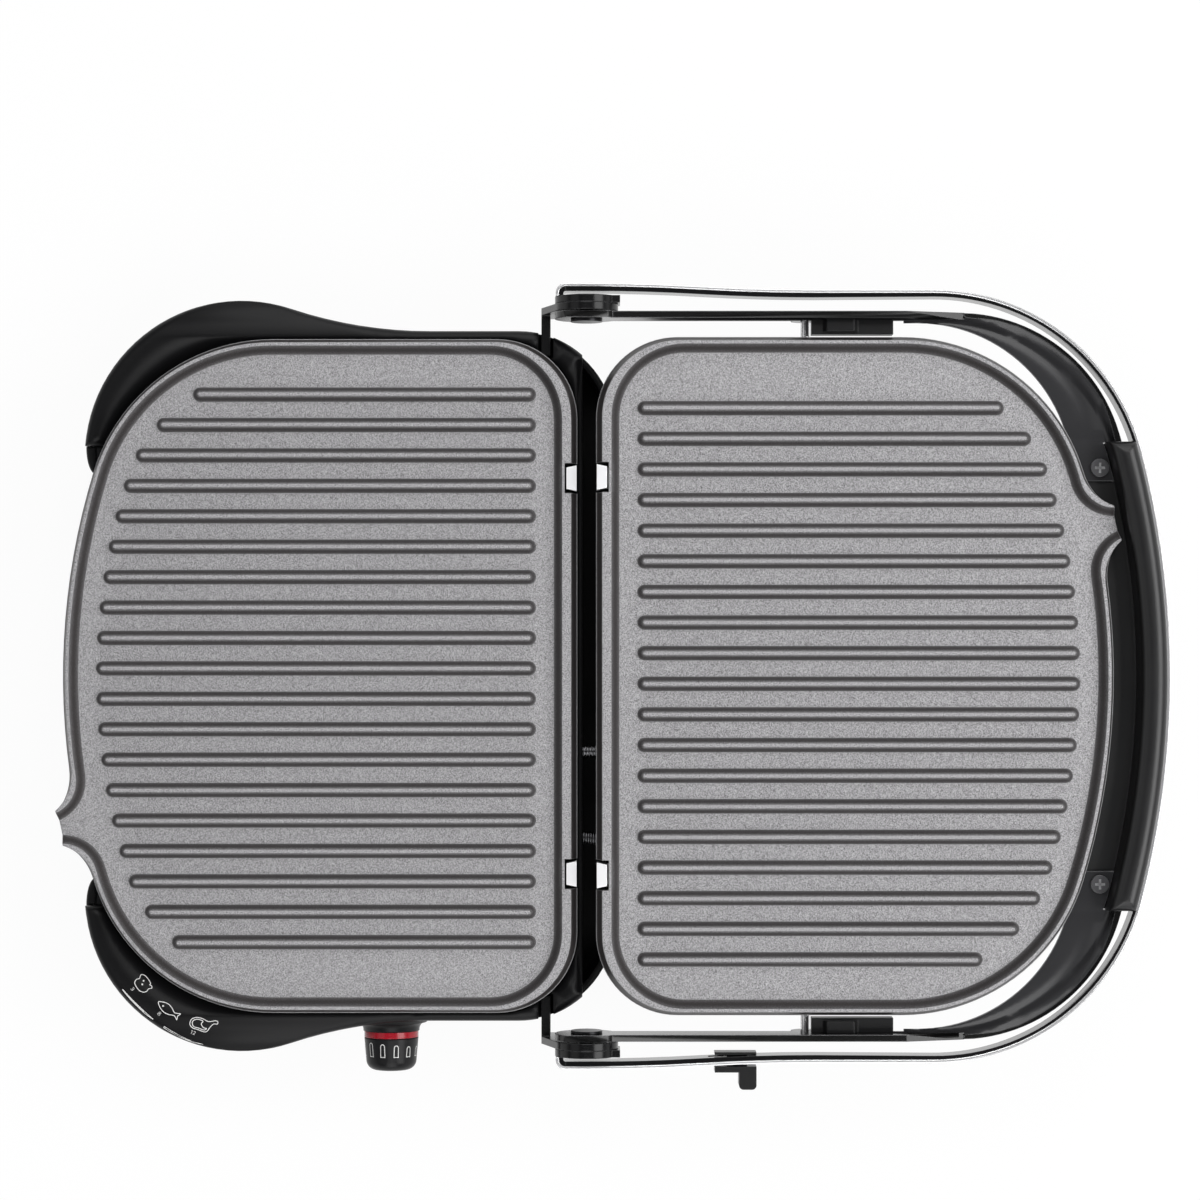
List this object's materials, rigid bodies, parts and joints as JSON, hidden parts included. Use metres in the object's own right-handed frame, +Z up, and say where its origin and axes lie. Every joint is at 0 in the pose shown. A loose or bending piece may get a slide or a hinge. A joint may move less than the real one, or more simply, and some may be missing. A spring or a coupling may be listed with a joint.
{
  "type": "flat-opening contact grill",
  "caption": "Countertop sandwich maker and contact grill, lying open flat: two ribbed removable plates, floating lid on side arms, bowed band handle and thermostat knob.",
  "frame": {"origin": "centre of the footprint on the worktop, with the grill lying open", "axes": "+X to the appliance's right, +Y from its front towards the opened lid, +Z up"},
  "size_m": [0.3558, 0.494, 0.0915],
  "materials": {
    "plate_coating": "grey speckled non-stick coating on cast aluminium",
    "housing_plastic": "black, satin",
    "handle_plastic": "black, satin, softly lit",
    "knob_plastic": "black with white printed marks",
    "red_plastic": "red, glossy",
    "black_steel": "black painted pressed steel",
    "bright_band": "polished bright metal",
    "polished_steel": "bright polished steel",
    "plated_steel": "zinc plated",
    "element_steel": "heat-darkened tubular sheath",
    "reflector_metal": "bright sheet",
    "foot_rubber": "matt black"
  },
  "bodies": {
    "base": {"base_housing": "housing_plastic", "base_front_panel": "housing_plastic", "base_bottom_cover": "housing_plastic", "base_feet": "foot_rubber", "base_screws": "plated_steel", "lower_heat_reflector": "reflector_metal", "lower_heating_element": "element_steel", "lower_plate_lugs": "polished_steel", "lower_plate_clips": "polished_steel", "hinge_bracket_left": "black_steel", "hinge_bracket_right": "black_steel", "thermostat": "plated_steel", "knob_indicator_ring": "red_plastic", "cord_outlet_bush": "housing_plastic", "conduit_a": "polished_steel", "conduit_b": "polished_steel"},
    "lower_plate": {"lower_grill_plate": "plate_coating"},
    "knob": {"thermostat_knob": "knob_plastic", "thermostat_shaft": "plated_steel"},
    "handle": {"arm_left": "black_steel", "arm_right": "black_steel", "handle_band": "bright_band", "handle_liner_left": "handle_plastic", "handle_liner_right": "handle_plastic", "handle_grip": "handle_plastic", "grip_screws": "plated_steel", "hinge_disc_left": "black_steel", "hinge_disc_right": "black_steel", "pivot_rivets": "polished_steel", "tilt_stop_left": "handle_plastic", "tilt_stop_right": "handle_plastic"},
    "slide": {"lock_slide": "handle_plastic"},
    "lid": {"lid_cover": "housing_plastic", "lid_frame": "housing_plastic", "upper_heat_reflector": "reflector_metal", "upper_heating_element": "element_steel", "upper_plate_lugs": "polished_steel", "upper_plate_clips": "polished_steel", "lid_axle_pins": "polished_steel", "lid_side_brackets": "plated_steel", "lid_rest_feet": "foot_rubber", "lid_screws": "plated_steel"},
    "upper_plate": {"upper_grill_plate": "plate_coating"}
  },
  "joints": [
    {"name": "lid_hinge", "type": "hinge", "parent": "base", "child": "handle", "pos_m": [-0.00451, -0.01074, 0.0775], "axis": [-1, 0, 0], "range_deg": [-180, 0], "deforming": ["conduit_a", "conduit_b"]},
    {"name": "lid_float", "type": "hinge", "parent": "handle", "child": "lid", "pos_m": [-0.00451, 0.08676, 0.0665], "axis": [1, 0, 0], "range_deg": [0, 8]},
    {"name": "lower_plate_lift", "type": "slide", "parent": "base", "child": "lower_plate", "axis": [0, 0, 1], "range_m": [0, 0.06]},
    {"name": "upper_plate_lift", "type": "slide", "parent": "lid", "child": "upper_plate", "axis": [0, 0, 1], "range_m": [0, 0.06]},
    {"name": "knob_turn", "type": "hinge", "parent": "base", "child": "knob", "pos_m": [0.15609, -0.09934, 0.042], "axis": [1, 0, 0], "range_deg": [0, 270]},
    {"name": "lock_slide_travel", "type": "slide", "parent": "handle", "child": "slide", "axis": [0, -1, 0], "range_m": [0, 0.008]}
  ]
}
